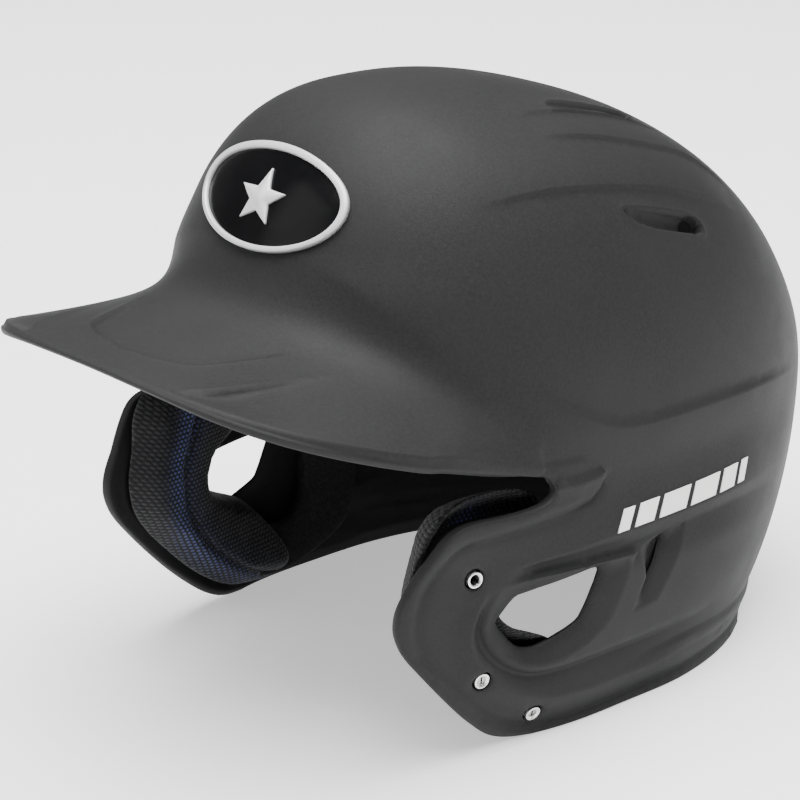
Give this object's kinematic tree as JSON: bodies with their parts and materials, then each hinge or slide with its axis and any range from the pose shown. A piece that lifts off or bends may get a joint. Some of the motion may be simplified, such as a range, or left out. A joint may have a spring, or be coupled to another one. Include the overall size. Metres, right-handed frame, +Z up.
{
  "type": "batting helmet",
  "caption": "Double-flap batting helmet with a long brim, ear openings, padded liner and metal threaded inserts for a face guard.",
  "frame": {"origin": "centre of the bounding box, at the height of the flap bottoms and the rear rim that the helmet stands on", "axes": "+Z up, -Y out along the brim (the wearer's forward), +X towards the wearer's left"},
  "size_m": [0.2008, 0.3146, 0.2226],
  "materials": {
    "shell": "matte charcoal, fine moulded texture",
    "insert": "bright zinc plate",
    "foam": "moulded closed-cell foam",
    "pad_fabric": "black mesh fabric with a blue thread",
    "badge_plate": "gloss black",
    "badge_trim": "satin silver",
    "stripe": "off-white film"
  },
  "bodies": {
    "root": {"shell": "shell", "insert_lower_left": "insert", "insert_lower_right": "insert", "insert_middle_left": "insert", "insert_middle_right": "insert", "insert_upper_left": "insert", "insert_upper_right": "insert", "jaw_left_foam": "foam", "jaw_right_foam": "foam", "side_left_foam": "foam", "side_right_foam": "foam", "front_foam": "foam", "crown_foam": "foam", "rear_foam": "foam", "jaw_left_comfort": "pad_fabric", "jaw_right_comfort": "pad_fabric", "side_left_comfort": "pad_fabric", "side_right_comfort": "pad_fabric", "front_comfort": "pad_fabric", "crown_comfort": "pad_fabric", "rear_comfort": "pad_fabric", "badge_plate": "badge_plate", "badge_ring": "badge_trim", "badge_star": "badge_trim", "stripe_left": "stripe", "stripe_right": "stripe"}
  },
  "joints": []
}
